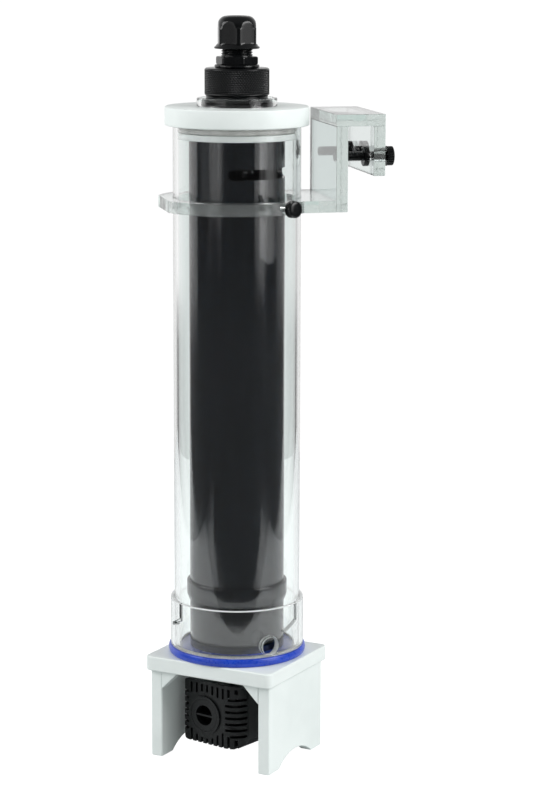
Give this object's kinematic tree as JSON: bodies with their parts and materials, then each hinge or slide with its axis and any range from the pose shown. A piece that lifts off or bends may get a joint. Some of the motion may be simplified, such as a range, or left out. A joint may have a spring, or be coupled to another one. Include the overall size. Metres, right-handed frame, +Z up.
{
  "type": "in-sump lamp reactor",
  "caption": "Tall clear tube reactor with black inner tube, white lid with cable gland, clear hang-on bracket, twist-lock base and pump under a footed stand.",
  "frame": {"origin": "on the tube's axis, in the plane of the feet", "axes": "+Z up along the tube; -Y out of the stand's open front, where the pump's intake is; +X through the stand's right side panel"},
  "size_m": [0.139, 0.1332, 0.4709],
  "materials": {
    "white_pvc": "satin",
    "clear_acrylic": "polished",
    "black_acrylic": "polished",
    "blue_gasket": "smooth",
    "black_nylon": "moulded",
    "white_nylon": "moulded",
    "silicone": "smooth",
    "black_rubber": "smooth",
    "quartz": "polished",
    "ceramic": "glazed",
    "pin_brass": "turned",
    "black_pump_plastic": "moulded",
    "ferrite": "ground"
  },
  "bodies": {
    "stand": {"stand_top_plate": "white_pvc", "stand_side_left": "white_pvc", "stand_side_right": "white_pvc", "stand_gussets": "white_pvc", "base_gasket": "blue_gasket", "base_disc": "blue_gasket", "base_socket_sleeve": "clear_acrylic", "inner_tube_stub": "black_acrylic", "inner_tube_coupling": "black_acrylic", "inner_tube": "black_acrylic", "pump_motor_block": "black_pump_plastic", "pump_volute": "black_pump_plastic", "pump_volute_cover": "black_pump_plastic", "pump_outlet_pipe": "black_pump_plastic", "pump_shaft": "ceramic", "pump_shaft_bushes": "white_nylon", "pump_o_ring": "black_rubber", "pump_cable_grommet": "black_rubber"},
    "impeller": {"pump_impeller": "black_pump_plastic", "pump_rotor_magnet": "ferrite"},
    "strainer": {"pump_strainer": "black_pump_plastic"},
    "flow_dial": {"pump_flow_dial": "black_pump_plastic"},
    "tube_lift": {"tube_slip_washer": "white_nylon"},
    "tube": {"outer_tube": "clear_acrylic", "bayonet_pins": "black_nylon"},
    "lid": {"lid_disc": "white_pvc", "lid_plug": "white_pvc", "lid_o_ring": "silicone", "neck_ring": "clear_acrylic", "neck_seat": "black_rubber", "threaded_neck": "black_nylon", "neck_washer": "black_rubber", "sleeve_o_ring": "silicone", "quartz_sleeve": "quartz", "lamp_envelope": "quartz", "lamp_end_caps": "ceramic", "lamp_pins": "pin_brass", "lamp_socket": "ceramic", "lamp_spacers": "silicone"},
    "nut_lift": {"nut_thrust_washer": "white_nylon"},
    "nut": {"knurled_nut": "black_nylon", "gland_washer": "black_nylon", "gland_body": "black_nylon", "gland_seal": "black_rubber"},
    "claw": {"gland_claw": "black_nylon"},
    "dome": {"gland_dome_nut": "black_nylon"},
    "bracket": {"collar_plate": "clear_acrylic", "bracket_inner_plate": "clear_acrylic", "bracket_top_plate": "clear_acrylic", "bracket_outer_plate": "clear_acrylic", "clamp_inserts": "black_nylon"},
    "clamp_rod_front": {"clamp_rod_front": "black_nylon"},
    "clamp_knob_front": {"clamp_knob_front": "black_nylon"},
    "clamp_rod_back": {"clamp_rod_back": "black_nylon"},
    "clamp_knob_back": {"clamp_knob_back": "black_nylon"},
    "collar_rod": {"collar_screw_rod": "black_nylon"},
    "collar_knob": {"collar_screw_knob": "black_nylon"}
  },
  "joints": [
    {"name": "impeller_spin", "type": "hinge", "parent": "stand", "child": "impeller", "pos_m": [-0.00591, 0.00104, 0.0275], "axis": [0.1736, 0.9848, 0], "continuous": true},
    {"name": "strainer_pull", "type": "slide", "parent": "stand", "child": "strainer", "axis": [-0.1736, -0.9848, 0], "range_m": [0, 0.036]},
    {"name": "flow_dial_turn", "type": "hinge", "parent": "strainer", "child": "flow_dial", "pos_m": [-0.01025, -0.02358, 0.0275], "axis": [0.1736, 0.9848, 0], "range_deg": [0, 90]},
    {"name": "tube_lift", "type": "slide", "parent": "stand", "child": "tube_lift", "axis": [0, 0, 1], "range_m": [0, 0.0051]},
    {"name": "tube_twist", "type": "hinge", "parent": "tube_lift", "child": "tube", "pos_m": [0, 0, 0.09], "axis": [0, 0, 1], "range_deg": [0, 16.4]},
    {"name": "lid_lift", "type": "slide", "parent": "tube", "child": "lid", "axis": [0, 0, 1], "range_m": [0, 0.31]},
    {"name": "nut_lift", "type": "slide", "parent": "lid", "child": "nut_lift", "axis": [0, 0, 1], "range_m": [0, 0.012]},
    {"name": "nut_turn", "type": "hinge", "parent": "nut_lift", "child": "nut", "pos_m": [0, 0, 0.43], "axis": [0, 0, 1], "range_deg": [0, 2161]},
    {"name": "dome_lift", "type": "slide", "parent": "nut", "child": "claw", "axis": [0, 0, 1], "range_m": [0, 0.0045]},
    {"name": "dome_turn", "type": "hinge", "parent": "claw", "child": "dome", "pos_m": [0, 0, 0.46], "axis": [0, 0, 1], "range_deg": [0, 1081]},
    {"name": "bracket_height", "type": "slide", "parent": "tube", "child": "bracket", "axis": [0, 0, 1], "range_m": [-0.24, 0.043]},
    {"name": "clamp_screw_front", "type": "slide", "parent": "bracket", "child": "clamp_rod_front", "axis": [0.7593, 0.6508, 0], "range_m": [0, 0.0128]},
    {"name": "clamp_knob_front_turn", "type": "hinge", "parent": "clamp_rod_front", "child": "clamp_knob_front", "pos_m": [0.08174, 0.04293, 0.385], "axis": [0.7593, 0.6508, 0], "range_deg": [0, 4608]},
    {"name": "clamp_screw_back", "type": "slide", "parent": "bracket", "child": "clamp_rod_back", "axis": [0.7593, 0.6508, 0], "range_m": [0, 0.0128]},
    {"name": "clamp_knob_back_turn", "type": "hinge", "parent": "clamp_rod_back", "child": "clamp_knob_back", "pos_m": [0.05493, 0.07421, 0.385], "axis": [0.7593, 0.6508, 0], "range_deg": [0, 4608]},
    {"name": "collar_screw", "type": "slide", "parent": "bracket", "child": "collar_rod", "axis": [0.9358, -0.3527, 0], "range_m": [0, 0.003]},
    {"name": "collar_knob_turn", "type": "hinge", "parent": "collar_rod", "child": "collar_knob", "pos_m": [0.0496, -0.01869, 0.35565], "axis": [0.9358, -0.3527, 0], "range_deg": [0, 1544]}
  ],
  "couplings": [
    {"joint": "tube_twist", "follows": "tube_lift", "rad_per_m": 55.782},
    {"joint": "nut_turn", "follows": "nut_lift", "rad_per_m": 3141.6},
    {"joint": "dome_turn", "follows": "dome_lift", "rad_per_m": 4188.8},
    {"joint": "clamp_knob_front_turn", "follows": "clamp_screw_front", "rad_per_m": 6283.2},
    {"joint": "clamp_knob_back_turn", "follows": "clamp_screw_back", "rad_per_m": 6283.2},
    {"joint": "collar_knob_turn", "follows": "collar_screw", "rad_per_m": 8976}
  ]
}
